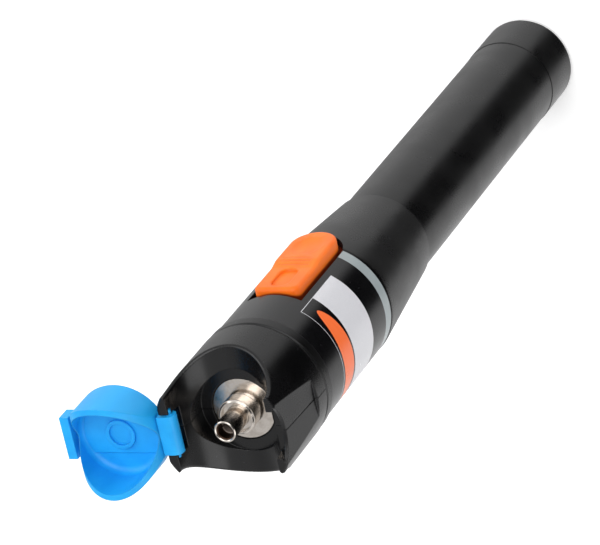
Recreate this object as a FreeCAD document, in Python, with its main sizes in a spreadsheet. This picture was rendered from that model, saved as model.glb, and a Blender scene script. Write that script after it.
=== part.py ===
import FreeCAD, Part
import math
import os
from types import SimpleNamespace

import Sketcher

# Visual fault locator: a pen-shaped red laser source for optical fibre.
# Frame: Z runs along the pen from the tail face (z = 0) to the connector end,
# the switch faces -Y, the dust cap's hinge is on +X and its latch on -X.

DIMENSIONS = [
    # tail cap
    ("tail_step", 0.1, "tail cap's outside above the tube's"),
    ("tail_length", 12.9, "visible length of the tail cap, up to the seam"),
    ("tail_floor", 2.4, "thickness of the tail cap's end"),
    ("tail_edge", 0.9, "bevel round the tail face"),
    ("plug_length", 6.0, "threaded plug of the tail cap inside the tube"),
    ("plug_depth", 1.0, "plug's thread below the tube's outside"),
    ("plug_room", 0.3, "room in front of the tail cap's plug"),
    ("thread_gap", 0.1, "radial clearance in a screw thread"),
    ("seal_station", 14.6, "middle of the O-ring above the tail face"),
    ("seal_section", 0.94, "thickness of the O-ring's cord"),
    ("seal_gap", 0.03, "clearance round the O-ring in its groove"),
    ("spring_wire", 0.7, "wire of the tail spring"),
    ("spring_turns", 5.0, "working turns of the tail spring"),
    ("spring_base", 10.4, "coil diameter at the wide end, middle of the wire"),
    ("spring_tip", 5.6, "coil diameter at the narrow end, middle of the wire"),
    ("washer_thickness", 0.5, "tail contact washer"),
    ("washer_gap", 0.55, "tail contact washer from the bore"),
    # battery tube and cells
    ("tube_wall", 2.35, "wall of the battery tube"),
    ("cell_gap", 0.35, "room round an AA cell"),
    ("cell_diameter", 14.2, "AA cell"),
    ("cell_length", 50.5, "AA cell with its positive nub"),
    ("nub_length", 1.4, "positive nub"),
    ("nub_diameter", 5.5, "positive nub"),
    ("cell_start", 13.2, "negative end of the rear cell"),
    ("cell_round", 0.6, "rounded negative end of a cell"),
    ("cell_shoulder", 0.8, "bevelled shoulder of a cell"),
    # front barrel
    ("lip_station", -26.2, "rear edge of the front barrel"),
    ("lip_step", 0.55, "front barrel's rear edge above the tube"),
    ("joint_length", 9.0, "thread between the tube and the front barrel"),
    ("joint_depth", 0.7, "front thread below the tube's outside"),
    ("cone_end", -0.3, "front end of the taper"),
    ("cone_step", 0.2, "front end of the taper above the label's seat"),
    ("label_start", 0.6, "rear edge of the label's seat"),
    ("label_end", 30.8, "front edge of the label's seat"),
    ("barrel_wall", 1.5, "wall of the front barrel under the label"),
    ("label_thickness", 0.12, "printed film round the barrel"),
    ("rim_step", 0.4, "front rim above the label's seat"),
    ("barrel_end", 33.4, "front face of the barrel"),
    ("rim_bevel", 0.3, "bevels of the barrel's rim"),
    ("cavity_room", 0.25, "room in the cavity beyond the skirt's travel"),
    ("cavity_diameter", 22.0, "cavity for the electronics"),
    # switch
    ("slot_gap", 0.1, "room in the slot beyond the knob's travel"),
    ("slot_width", 10.8, "width of the switch slot"),
    ("knob_station", 8.65, "middle of the knob with the switch off"),
    ("knob_length", 23.1, "switch knob"),
    ("knob_width", 9.2, "switch knob"),
    ("knob_rise", 2.3, "low front part of the knob above the cavity's wall"),
    ("bump_rise", 2.85, "raised rear part of the knob above the cavity's wall"),
    ("bump_length", 13.2, "raised rear part of the knob"),
    ("knob_travel", 1.0, "slide of the knob each way"),
    ("bump_slope", 1.2, "half length of the slope between the two heights"),
    ("bump_blend", 2.5, "rounding of the two bends of the slope"),
    ("knob_corner", 1.5, "front corners of the knob"),
    ("knob_round", 0.8, "rounded edges of the knob"),
    ("dish_depth", 0.5, "thumb dish in the raised part of the knob"),
    ("dish_curve", 1.25, "upright radius of the thumb dish's ellipsoid"),
    ("dish_middle", 6.35, "thumb dish from the rear end of the knob"),
    ("dish_along", 4.75, "half length of the thumb dish's ellipsoid"),
    ("dish_across", 3.9, "half width of the thumb dish's ellipsoid"),
    ("recess_depth", 0.6, "oval recess in the front of the knob"),
    ("recess_width", 3.6, "oval recess in the front of the knob"),
    ("recess_margin", 1.3, "rim left round the recess, front and rear"),
    ("recess_round", 0.3, "rounded rim of the recess"),
    ("fork_gap", 0.5, "fork from the slide switch"),
    ("fork_roof", 0.2, "clearance above the lever in the fork"),
    ("fork_wall", 1.4, "fork that holds the switch lever"),
    ("skirt_thickness", 0.8, "sliding skirt under the knob"),
    ("skirt_gap", 0.2, "clearance between the skirt and the barrel"),
    ("skirt_width", 14.0, "sliding skirt under the knob"),
    ("skirt_margin", 0.65, "skirt beyond each end of the knob"),
    ("lever_width", 2.0, "lever of the slide switch"),
    ("lever_length", 2.5, "lever of the slide switch, along the pen"),
    ("lever_reach", 9.5, "tip of the lever from the axis"),
    ("switch_width", 8.6, "slide switch body"),
    ("switch_length", 11.0, "slide switch body"),
    ("switch_height", 3.8, "slide switch body above the board"),
    ("switch_wall", 0.8, "cover of the slide switch"),
    ("foot_thickness", 1.1, "foot of the lever inside the slide switch"),
    ("foot_gap", 0.1, "clearance under the lever's foot"),
    ("window_gap", 0.15, "clearance of the lever in its window"),
    # electronics
    ("board_offset", 1.4, "board's rear face from the axis"),
    ("board_thickness", 1.2, "driver board"),
    ("board_width", 17.0, "driver board"),
    ("board_end", 27.2, "front edge of the driver board"),
    ("coil_diameter", 4.6, "coil on the board's rear face"),
    ("coil_height", 3.0, "coil on the board's rear face"),
    ("coil_offset", 4.2, "coil from the axis"),
    ("coil_station", 8.0, "coil from the contact holder"),
    ("trimmer_size", 3.2, "trimmer on the board's front face"),
    ("trimmer_height", 1.6, "trimmer on the board's front face"),
    ("trimmer_offset", 6.8, "trimmer's outer side from the axis"),
    ("trimmer_rear", 8.0, "trimmer's rear side from the board's front edge"),
    ("holder_thickness", 1.8, "contact holder's disc"),
    ("holder_skirt", 1.0, "wall round the front cell"),
    ("holder_gap", 0.24, "contact holder below the knob's skirt"),
    ("contact_thickness", 0.6, "positive contact"),
    ("contact_diameter", 7.0, "positive contact"),
    # head
    ("head_step", 0.1, "connector head above the barrel's rim"),
    ("head_start", 33.8, "rear edge of the head"),
    ("head_end", 51.8, "end faces of the two prongs"),
    ("spigot_length", 8.2, "head's spigot inside the barrel"),
    ("spigot_gap", 0.1, "radial clearance round the spigot"),
    ("shoulder_depth", 0.8, "groove between the barrel and the head"),
    ("parting_gap", 0.12, "line between the two head shells"),
    ("scoop_diameter", 19.5, "round cut between the prongs"),
    ("prong_thickness", 4.7, "prongs round the connector's pocket"),
    ("pocket_floor", 41.8, "floor of the pocket"),
    ("flat_start", 37.8, "rear end of the side flats"),
    ("flat_rear_depth", 0.55, "depth of a side flat at its rear end"),
    ("flat_front_depth", 1.5, "depth of a side flat at the prong's end"),
    ("flat_runout", 0.4, "length of the flats' run-out at their rear end"),
    ("notch_width", 9.4, "latch notch in the prong"),
    ("notch_floor", 48.0, "floor of the latch notch"),
    ("notch_wall", 2.0, "outer wall of the latch notch"),
    ("lip_height", 49.6, "lowest point of the latch lip's round dip"),
    ("lip_radius", 8.0, "round dip of the latch lip"),
    ("scoop_round", 0.55, "rounded rim of the scoop"),
    # connector and laser
    ("flange_diameter", 12.2, "connector flange"),
    ("flange_face", 41.6, "front face of the flange"),
    ("flange_thickness", 1.6, "connector flange"),
    ("flange_flat", 5.3, "flat of the flange from the axis"),
    ("edge_break", 0.15, "small bevel of a turned edge"),
    ("relief_depth", 0.35, "undercut between the flange and the nose's thread"),
    ("relief_length", 0.4, "undercut between the flange and the nose's thread"),
    ("nose_diameter", 7.0, "threaded nose of the connector"),
    ("nose_length", 3.6, "threaded nose in front of the flange"),
    ("nose_recess", 0.7, "ring-shaped recess in the nose"),
    ("nose_root", 5.9, "root diameter of the nose's recess"),
    ("port_diameter", 4.2, "connector tube"),
    ("port_end", 50.5, "tip of the connector tube"),
    ("port_start", 36.2, "rear end of the connector tube"),
    ("ferrule_bore", 2.5, "bore that takes the fibre's ferrule"),
    ("sleeve_wall", 0.32, "ceramic sleeve"),
    ("sleeve_start", 38.2, "rear end of the ceramic sleeve"),
    ("sleeve_slit", 0.3, "slit of the ceramic sleeve"),
    ("tip_setback", 2.2, "ceramic sleeve behind the connector's tip"),
    ("throat_gap", 0.2, "clearance of the ferrule in the connector tube's mouth"),
    ("throat_bevel", 0.38, "lead-in of the connector tube's mouth"),
    ("spigot_diameter", 6.4, "connector's spigot in the laser housing"),
    ("spigot_depth", 1.8, "connector's spigot in the laser housing"),
    ("housing_diameter", 9.2, "laser housing"),
    ("housing_start", 28.0, "rear end of the laser housing"),
    ("housing_end", 38.8, "front end of the laser housing"),
    ("collar_diameter", 11.4, "collar of the laser housing"),
    ("collar_start", 31.8, "rear face of the collar"),
    ("collar_thickness", 1.6, "collar of the laser housing"),
    ("fit_gap", 0.03, "clearance of a seated turned piece"),
    ("diode_base", 5.6, "laser diode's base disc"),
    ("diode_can", 3.6, "laser diode's can"),
    ("diode_can_length", 3.4, "laser diode's can"),
    ("diode_base_thickness", 1.2, "laser diode's base disc"),
    ("pin_diameter", 0.45, "laser diode's pins"),
    ("pin_length", 5.0, "laser diode's pins"),
    ("pin_circle", 2.0, "circle of the laser diode's pins"),
    ("can_gap", 0.4, "room round the laser diode's can"),
    ("lens_diameter", 4.0, "focusing lens"),
    ("lens_curve", 2.24, "radius of the focusing lens"),
    ("lens_view", 1.2, "radius of the opening behind the focusing lens"),
    ("lens_station", 35.0, "middle of the focusing lens"),
    ("lens_thickness", 1.8, "focusing lens"),
    ("screw_diameter", 1.7, "screws of the head shells"),
    ("screw_head", 3.0, "head of a shell screw"),
    ("screw_crown", 1.2, "height of a shell screw's head"),
    ("recess_reach", 0.9, "half span of the screw head's cross"),
    ("recess_slot", 0.18, "half width of the screw head's cross"),
    ("recess_floor", 0.6, "floor of the screw head's cross above its seat"),
    ("screw_margin", 3.1, "shell screws from the cavity's wall"),
    ("screw_seat", 4.0, "seat of the screw heads from the parting plane"),
    ("screw_grip", 4.6, "tips of the shell screws from the parting plane"),
    ("screw_station", 30.0, "shell screws"),
    # dust cap
    ("cap_inset", 3.8, "cap's cup inside the head's outside"),
    ("cap_wall", 1.1, "wall of the cap's cup"),
    ("cap_floor", 1.0, "thickness of the cap's end"),
    ("cap_rim", 1.34, "cap's end face to the straight rim"),
    ("tongue_diameter", 16.4, "rounded tongues of the cap"),
    ("cap_corner", 1.4, "inner radius between the cap's end and its wall"),
    ("ring_diameter", 5.8, "ring boss inside the cap"),
    ("ring_wall", 0.7, "ring boss inside the cap"),
    ("ring_height", 0.8, "ring boss inside the cap"),
    ("band_width", 7.8, "raised band across the cap's end"),
    ("band_height", 0.3, "raised band across the cap's end"),
    ("hinge_inset", 2.8, "hinge axis below the head's outside"),
    ("hinge_station", 50.8, "hinge axis"),
    ("knuckle_diameter", 3.0, "hinge knuckle of the cap"),
    ("knuckle_width", 7.6, "hinge knuckle of the cap"),
    ("hinge_gap", 0.3, "side clearance of the knuckle in its slot"),
    ("trunnion_diameter", 1.2, "stub pins of the hinge"),
    ("trunnion_length", 1.0, "stub pins of the hinge"),
    ("latch_width", 8.4, "latch tab"),
    ("latch_gap", 0.25, "latch tab from the outer wall of its notch"),
    ("latch_thickness", 1.8, "latch tab"),
    ("latch_length", 3.3, "latch tab"),
    ("cap_angle", 180.0, "opening of the cap from closed, in degrees"),
]

FRONT_STATIONS = [
    "lip_station", "cone_end", "label_start", "label_end", "barrel_end", "knob_station",
    "board_end", "head_start", "head_end", "pocket_floor", "flat_start", "notch_floor",
    "lip_height", "flange_face", "port_end", "port_start", "sleeve_start", "housing_start",
    "housing_end", "collar_start", "lens_station", "screw_station", "hinge_station",
]


class Size:
    """A number together with the sheet formula that keeps it current."""

    def __init__(self, value, formula=None):
        self.value = float(value)
        self.formula = formula if formula is not None else repr(float(value))

    def _join(self, other, sign, value):
        other = as_size(other)
        return Size(value, f"({self.formula} {sign} {other.formula})")

    def __add__(self, other):
        return self._join(other, "+", self.value + as_size(other).value)

    def __sub__(self, other):
        return self._join(other, "-", self.value - as_size(other).value)

    def __mul__(self, other):
        return self._join(other, "*", self.value * as_size(other).value)

    def __truediv__(self, other):
        return self._join(other, "/", self.value / as_size(other).value)

    def __neg__(self):
        return Size(0.0) - self

    def __radd__(self, other):
        return as_size(other) + self

    def __rsub__(self, other):
        return as_size(other) - self

    def __rmul__(self, other):
        return as_size(other) * self


def as_size(number):
    return number if isinstance(number, Size) else Size(number)


def root(size):
    return Size(math.sqrt(size.value), f"sqrt({size.formula})")


def cosine(degrees):
    return Size(math.cos(math.radians(degrees.value)), f"cos({degrees.formula} * 1deg)")


def sine(degrees):
    return Size(math.sin(math.radians(degrees.value)), f"sin({degrees.formula} * 1deg)")


doc = FreeCAD.newDocument("visual_fault_locator")
sheet = doc.addObject("Spreadsheet::Sheet", "Sizes")
d = SimpleNamespace()
for row, (alias, number, note) in enumerate(DIMENSIONS, start=1):
    sheet.set(f"A{row}", note)
    sheet.set(f"B{row}", str(number))
    sheet.setAlias(f"B{row}", alias)
    setattr(d, alias, Size(number, f"Sizes.{alias}"))
doc.recompute()

ZERO = Size(0.0)
OVER = Size(1.0)  # how far a cutting tool runs past the surface it cuts

# Sizes that follow from others: the cells set the tube, and the cavity sets the barrel and the head.
d.tube_bore = d.cell_diameter + d.cell_gap * 2
d.tube_diameter = d.tube_bore + d.tube_wall * 2
d.tail_diameter = d.tube_diameter + d.tail_step * 2
d.plug_diameter = d.tube_diameter - d.plug_depth * 2
d.washer_diameter = d.tube_bore - d.washer_gap * 2
d.lip_diameter = d.tube_diameter + d.lip_step * 2
d.joint_diameter = d.tube_diameter - d.joint_depth * 2
d.label_seat = d.cavity_diameter + d.barrel_wall * 2
d.cone_diameter = d.label_seat + d.cone_step * 2
d.rim_diameter = d.label_seat + d.rim_step * 2
d.head_diameter = d.rim_diameter + d.head_step * 2
d.shoulder_diameter = d.head_diameter - d.shoulder_depth * 2
d.pocket_diameter = d.head_diameter - d.prong_thickness * 2
d.flat_near = d.head_diameter / 2 - d.flat_rear_depth
d.flat_far = d.head_diameter / 2 - d.flat_front_depth
d.notch_depth = d.head_diameter / 2 - d.notch_wall
d.hinge_offset = d.head_diameter / 2 - d.hinge_inset
d.cap_diameter = d.head_diameter - d.cap_inset * 2
d.screw_offset = d.cavity_diameter / 2 - d.screw_margin
d.knob_height = d.cavity_diameter / 2 + d.knob_rise
d.bump_height = d.cavity_diameter / 2 + d.bump_rise

# Stations in the barrel and the head, which the table gives from the front cell's end.
cells_end = d.cell_start + d.cell_length * 2
for alias in FRONT_STATIONS:
    setattr(d, alias, cells_end + getattr(d, alias))

# What leaves room for the knob follows from its length and its travel.
d.skirt_length = d.knob_length + d.skirt_margin * 2
d.slot_start = d.knob_station - d.knob_length / 2 - d.knob_travel - d.slot_gap
d.slot_end = d.knob_station + d.knob_length / 2 + d.knob_travel + d.slot_gap
d.cavity_start = d.knob_station - d.skirt_length / 2 - d.knob_travel - d.cavity_room
d.nose_end = d.flange_face + d.nose_length


# ---------------------------------------------------------------- building blocks

def bind(thing, **sizes):
    for path, size in sizes.items():
        thing.setExpression(path.replace("__", "."), as_size(size).formula)
    return thing


def place(thing, x=ZERO, y=ZERO, z=ZERO):
    return bind(thing, Placement__Base__x=x, Placement__Base__y=y, Placement__Base__z=z)


def cylinder(name, radius, bottom, height, x=ZERO, y=ZERO):
    piece = doc.addObject("Part::Cylinder", name)
    bind(piece, Radius=radius, Height=height)
    return place(piece, x, y, bottom)


def cross_cylinder(name, radius, start, length, x=ZERO, z=ZERO):
    """A cylinder along +Y that starts at y = start."""
    piece = doc.addObject("Part::Cylinder", name)
    piece.Placement.Rotation = FreeCAD.Rotation(FreeCAD.Vector(1, 0, 0), -90)
    bind(piece, Radius=radius, Height=length)
    return place(piece, x, start, z)


def block(name, low, high):
    piece = doc.addObject("Part::Box", name)
    low = [as_size(value) for value in low]
    high = [as_size(value) for value in high]
    bind(piece, Length=high[0] - low[0], Width=high[1] - low[1], Height=high[2] - low[2])
    return place(piece, *low)


def fuse(name, *pieces):
    joined = doc.addObject("Part::MultiFuse", name)
    joined.Shapes = list(pieces)
    return joined


def cut(name, base, *tools):
    tool = tools[0] if len(tools) == 1 else fuse(name + "_tools", *tools)
    result = doc.addObject("Part::Cut", name)
    result.Base = base
    result.Tool = tool
    return result


def common(name, first, second):
    result = doc.addObject("Part::MultiCommon", name)
    result.Shapes = [first, second]
    return result


def group(name, *pieces):
    """Separate solids kept together as one node."""
    result = doc.addObject("Part::Compound", name)
    result.Links = list(pieces)
    return result


def new_sketch(body, name, role, lift=None):
    sketch = body.newObject("Sketcher::SketchObject", name)
    plane = next(item for item in body.Origin.OriginFeatures if item.Role == role)
    sketch.AttachmentSupport = [(plane, "")]
    sketch.MapMode = "FlatFace"
    if lift is not None:
        sketch.setExpression("AttachmentOffset.Base.z", lift.formula)
    return sketch


def draw_polygon(sketch, corners):
    """A closed outline whose corners are held to the sheet."""
    corners = [(as_size(x), as_size(y)) for x, y in corners]
    count = len(corners)
    points = [FreeCAD.Vector(x.value, y.value, 0) for x, y in corners]
    for i in range(count):
        sketch.addGeometry(Part.LineSegment(points[i], points[(i + 1) % count]), False)
    for i in range(count):
        sketch.addConstraint(Sketcher.Constraint("Coincident", i, 2, (i + 1) % count, 1))
    for i, corner in enumerate(corners):
        for kind, size in zip(("DistanceX", "DistanceY"), corner):
            number = sketch.addConstraint(Sketcher.Constraint(kind, -1, 1, i, 1, size.value))
            sketch.setExpression(f"Constraints[{number}]", size.formula)


def draw_circle(sketch, radius, x=ZERO, y=ZERO):
    centre = FreeCAD.Vector(x.value, y.value, 0)
    number = sketch.addGeometry(Part.Circle(centre, FreeCAD.Vector(0, 0, 1), radius.value), False)
    held = sketch.addConstraint(Sketcher.Constraint("Radius", number, radius.value))
    sketch.setExpression(f"Constraints[{held}]", radius.formula)
    for kind, size in (("DistanceX", x), ("DistanceY", y)):
        held = sketch.addConstraint(Sketcher.Constraint(kind, -1, 1, number, 3, size.value))
        sketch.setExpression(f"Constraints[{held}]", size.formula)


def draw_arch(sketch, half_width, rear, front):
    """A square front and a full-round rear end, about the sketch's upright axis."""
    middle = rear + half_width
    ends = [(-half_width, middle), (-half_width, front), (half_width, front), (half_width, middle)]
    points = [FreeCAD.Vector(x.value, y.value, 0) for x, y in ends]
    for first, second in zip(points, points[1:]):
        sketch.addGeometry(Part.LineSegment(first, second), False)
    circle = Part.Circle(FreeCAD.Vector(0, middle.value, 0), FreeCAD.Vector(0, 0, 1), half_width.value)
    arc = sketch.addGeometry(Part.ArcOfCircle(circle, math.pi, 2 * math.pi), False)
    for first, end, second, start in ((0, 2, 1, 1), (1, 2, 2, 1), (arc, 1, 0, 1), (arc, 2, 2, 2)):
        sketch.addConstraint(Sketcher.Constraint("Coincident", first, end, second, start))
    held = [(0, 1, ends[0]), (1, 1, ends[1]), (2, 1, ends[2]), (2, 2, ends[3])]
    for number, point, (x, y) in held:
        for kind, size in (("DistanceX", x), ("DistanceY", y)):
            index = sketch.addConstraint(Sketcher.Constraint(kind, -1, 1, number, point, size.value))
            sketch.setExpression(f"Constraints[{index}]", size.formula)
    index = sketch.addConstraint(Sketcher.Constraint("DistanceY", -1, 1, arc, 3, middle.value))
    sketch.setExpression(f"Constraints[{index}]", middle.formula)


def turned(name, corners):
    """A body turned about the pen's axis from (radius, height) corners."""
    body = doc.addObject("PartDesign::Body", name)
    sketch = new_sketch(body, name + "_section", "XZ_Plane")
    draw_polygon(sketch, corners)
    revolution = body.newObject("PartDesign::Revolution", name + "_turned")
    revolution.Profile = sketch
    revolution.ReferenceAxis = (sketch, ["V_Axis"])
    revolution.Angle = 360
    sketch.Visibility = False
    return body


def pocket_through(body, name, role, draw, outline):
    """A pocket right through the body, both ways from an origin plane."""
    sketch = new_sketch(body, name + "_sketch", role)
    draw(sketch, *outline)
    pocket = body.newObject("PartDesign::Pocket", name)
    pocket.Profile = sketch
    pocket.Type = 1
    pocket.Midplane = True
    return pocket


def round_edges(body, name, radius, wanted):
    """Round the edges of a body that the test picks out."""
    doc.recompute()
    base = body.Tip
    edges = [f"Edge{i}" for i, edge in enumerate(base.Shape.Edges, start=1) if wanted(edge)]
    fillet = body.newObject("PartDesign::Fillet", name)
    fillet.Base = (base, edges)
    return bind(fillet, Radius=radius)


def pad_outward(body, name, start, length, draw, outline):
    """A pad towards -Y that begins at the given distance from the axis."""
    sketch = new_sketch(body, name + "_outline", "XZ_Plane", start)
    draw(sketch, *outline)
    pad = body.newObject("PartDesign::Pad", name)
    pad.Profile = sketch
    return bind(pad, Length=length)


def pocket_outward(body, name, start, length, draw, outline):
    """A pocket towards -Y that begins at the given distance from the axis."""
    sketch = new_sketch(body, name + "_outline", "XZ_Plane", start)
    draw(sketch, *outline)
    pocket = body.newObject("PartDesign::Pocket", name)
    pocket.Profile = sketch
    pocket.Reversed = True
    return bind(pocket, Length=length)


def groove_round(body, name, corners):
    """Material taken off all round the pen's axis."""
    sketch = new_sketch(body, name + "_section", "XZ_Plane")
    draw_polygon(sketch, corners)
    groove = body.newObject("PartDesign::Groove", name)
    groove.Profile = sketch
    groove.ReferenceAxis = (sketch, ["V_Axis"])
    groove.Angle = 360
    return groove


def rectangle(half_width, low, high):
    return [(-half_width, low), (-half_width, high), (half_width, high), (half_width, low)]


# ---------------------------------------------------------------- tail

plug_end = d.tail_length + d.plug_length
tail_bore = d.tube_bore / 2
washer_top = d.tail_floor + d.washer_thickness


def make_tail_cap():
    outer = d.tail_diameter / 2
    plug = d.plug_diameter / 2
    groove_root = plug - d.seal_section + d.thread_gap - d.seal_gap * 2
    groove_low = d.seal_station - d.seal_section / 2 - d.seal_gap
    groove_high = d.seal_station + d.seal_section / 2 + d.seal_gap
    return turned("tail_cap", [
        (ZERO, ZERO),
        (outer - d.tail_edge, ZERO),
        (outer - d.tail_edge / 3, d.tail_edge / 3),
        (outer, d.tail_edge),
        (outer, d.tail_length - d.rim_bevel / 2),
        (outer - d.rim_bevel / 2, d.tail_length),
        (plug, d.tail_length),
        (plug, groove_low),
        (groove_root, groove_low),
        (groove_root, groove_high),
        (plug, groove_high),
        (plug, plug_end - d.rim_bevel),
        (plug - d.rim_bevel, plug_end),
        (tail_bore, plug_end),
        (tail_bore, d.tail_floor),
        (ZERO, d.tail_floor),
    ])


def make_tail_seal():
    ring = doc.addObject("Part::Torus", "tail_seal")
    middle = d.plug_diameter / 2 + d.thread_gap - d.seal_gap - d.seal_section / 2
    bind(ring, Radius1=middle, Radius2=d.seal_section / 2)
    return place(ring, z=d.seal_station)


def make_tail_washer():
    washer = turned("tail_contact", [
        (d.spring_tip / 4, d.tail_floor),
        (d.washer_diameter / 2, d.tail_floor),
        (d.washer_diameter / 2, washer_top),
        (d.spring_tip / 4, washer_top),
    ])
    return washer


def make_tail_spring():
    """A conical spring between the tail contact and the rear cell."""
    wire = d.spring_wire.value
    bottom = washer_top.value + wire / 2
    top = d.cell_start.value - wire / 2
    pitch = (top - bottom) / d.spring_turns.value
    lean = math.degrees(math.atan2((d.spring_base.value - d.spring_tip.value) / 2, top - bottom))
    coil = Part.makeHelix(pitch, top - bottom, d.spring_base.value / 2, -lean)
    start = FreeCAD.Vector(d.spring_base.value / 2, 0, 0)
    section = Part.Wire(Part.makeCircle(wire / 2, start, FreeCAD.Vector(0, 1, 0)))
    turns = Part.Wire(coil).makePipeShell([section], True, True)
    base = Part.makeTorus(d.spring_base.value / 2, wire / 2)
    spring = doc.addObject("Part::Feature", "tail_spring")
    spring.Shape = turns.fuse(base) if turns.isValid() else turns
    return place(spring, z=washer_top + d.spring_wire / 2)


# ---------------------------------------------------------------- battery tube



def make_battery_tube():
    outer = d.tube_diameter / 2
    seat = d.plug_diameter / 2 + d.thread_gap
    joint = d.joint_diameter / 2
    joint_end = d.lip_station + d.joint_length
    bevel = d.rim_bevel / 2
    return turned("battery_tube", [
        (seat, d.tail_length),
        (outer - bevel, d.tail_length),
        (outer, d.tail_length + bevel),
        (outer, d.lip_station),
        (joint, d.lip_station),
        (joint, joint_end - d.rim_bevel),
        (joint - d.rim_bevel, joint_end),
        (tail_bore, joint_end),
        (tail_bore, plug_end + d.plug_room),
        (seat, plug_end + d.plug_room),
    ])


def make_cell(name, start):
    body = d.cell_diameter / 2
    nub = d.nub_diameter / 2
    shoulder = start + d.cell_length - d.nub_length
    return turned(name, [
        (ZERO, start),
        (body - d.cell_round, start),
        (body, start + d.cell_round),
        (body, shoulder - d.cell_shoulder),
        (body - d.cell_shoulder, shoulder),
        (nub, shoulder),
        (nub, start + d.cell_length),
        (ZERO, start + d.cell_length),
    ])


# ---------------------------------------------------------------- front barrel

cavity = d.cavity_diameter / 2


def make_front_barrel():
    seat = d.joint_diameter / 2 + d.thread_gap
    seat_end = d.lip_station + d.joint_length + d.thread_gap
    lip = d.lip_diameter / 2
    label = d.label_seat / 2
    rim = d.rim_diameter / 2
    body = turned("front_barrel", [
        (seat, d.lip_station),
        (lip - d.rim_bevel, d.lip_station),
        (lip, d.lip_station + d.rim_bevel),
        (d.cone_diameter / 2, d.cone_end),
        (d.cone_diameter / 2, d.label_start - d.rim_bevel),
        (label, d.label_start),
        (label, d.label_end),
        (rim - d.rim_bevel, d.label_end),
        (rim, d.label_end + d.rim_bevel),
        (rim, d.barrel_end - d.rim_bevel),
        (rim - d.rim_bevel, d.barrel_end),
        (cavity, d.barrel_end),
        (cavity, d.cavity_start),
        (tail_bore, d.cavity_start),
        (tail_bore, seat_end),
        (seat, seat_end),
    ])
    half = d.slot_width / 2
    pocket_outward(body, "switch_slot", ZERO, d.rim_diameter, draw_arch,
                   [half, d.slot_start, d.slot_end])
    return body


def make_label():
    body = turned("label_wrap", [
        (d.label_seat / 2, d.label_start),
        (d.label_seat / 2 + d.label_thickness, d.label_start),
        (d.label_seat / 2 + d.label_thickness, d.label_end),
        (d.label_seat / 2, d.label_end),
    ])
    half = d.slot_width / 2 + d.label_thickness
    slot = new_sketch(body, "window_outline", "XZ_Plane")
    draw_polygon(slot, [
        (-half, d.label_start - OVER),
        (-half, d.slot_end + d.label_thickness),
        (half, d.slot_end + d.label_thickness),
        (half, d.label_start - OVER),
    ])
    pocket = body.newObject("PartDesign::Pocket", "label_window")
    pocket.Profile = slot
    pocket.Reversed = True
    bind(pocket, Length=d.rim_diameter)
    return body


# ---------------------------------------------------------------- switch

knob_rear = d.knob_station - d.knob_length / 2
knob_front = d.knob_station + d.knob_length / 2
bump_end = knob_rear + d.bump_length
skirt_outer = cavity - d.skirt_gap
skirt_inner = skirt_outer - d.skirt_thickness
board_face = d.board_offset + d.board_thickness
switch_top = board_face + d.switch_height
fork_end = switch_top + d.fork_gap
skirt_edge = root(skirt_inner * skirt_inner - d.skirt_width * d.skirt_width / 4)
holder_flat = skirt_edge - d.holder_gap


def make_switch_knob():
    """Slides in the barrel's slot; its skirt runs against the inside of the wall."""
    body = doc.addObject("PartDesign::Body", "switch_knob")
    half = d.knob_width / 2
    low = d.knob_station - d.skirt_length / 2
    high = d.knob_station + d.skirt_length / 2
    beyond = d.rim_diameter
    pad_outward(body, "skirt", ZERO, skirt_outer, draw_polygon,
                [rectangle(d.skirt_width / 2, low, high)])
    groove_round(body, "skirt_curve", [
        (skirt_outer, low - OVER), (skirt_outer, high + OVER),
        (beyond, high + OVER), (beyond, low - OVER)])
    pad_outward(body, "button", ZERO, d.bump_height, draw_arch, [half, knob_rear, knob_front])
    groove_round(body, "inside", [
        (ZERO, low - OVER), (skirt_inner, low - OVER),
        (skirt_inner, high + OVER), (ZERO, high + OVER)])
    pocket_through(body, "front_step", "YZ_Plane", draw_polygon, [[
        (-d.knob_height, knob_front + OVER), (-d.knob_height, bump_end + d.bump_slope),
        (-d.bump_height, bump_end - d.bump_slope),
        (-(d.bump_height + OVER), bump_end - d.bump_slope),
        (-(d.bump_height + OVER), knob_front + OVER)]])
    reach = d.lever_length / 2 + d.fork_wall
    pad_outward(body, "fork", fork_end, skirt_inner + d.skirt_thickness / 2 - fork_end, draw_polygon,
                [rectangle(d.lever_width / 2 + d.fork_wall, d.knob_station - reach,
                           d.knob_station + reach)])
    eye = d.lever_length / 2 + d.fit_gap
    pocket_outward(body, "fork_eye", fork_end - OVER, d.lever_reach + d.fork_roof + OVER - fork_end,
                   draw_polygon, [rectangle(d.lever_width / 2 + d.fit_gap, d.knob_station - eye,
                                            d.knob_station + eye)])
    round_edges(body, "front_corners", d.knob_corner, is_front_corner)
    round_edges(body, "slope_bends", d.bump_blend, is_slope_bend)
    round_edges(body, "soft_top", d.knob_round, is_top_edge)
    floor = d.knob_height - d.recess_depth
    wide = d.recess_width / 2
    rear = bump_end + d.bump_slope + wide + d.recess_round
    front = knob_front - d.recess_margin - wide
    pocket_outward(body, "recess", floor, 2 * OVER, draw_polygon, [rectangle(wide, rear, front)])
    pocket_outward(body, "recess_rear", floor, 2 * OVER, draw_circle, [wide, ZERO, rear])
    pocket_outward(body, "recess_front", floor, 2 * OVER, draw_circle, [wide, ZERO, front])
    round_edges(body, "recess_rim", d.recess_round, is_recess_rim)
    thumb_dish(body, "rear_dish")
    return body


def is_front_corner(edge):
    """The two upright edges at the front of the button."""
    ends = edge.Vertexes
    return (len(ends) == 2 and edge.BoundBox.ZLength < 0.01 and edge.BoundBox.XLength < 0.01
            and abs(edge.BoundBox.ZMax - knob_front.value) < 0.01
            and edge.BoundBox.YMin < -d.knob_height.value + 0.01)


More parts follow.
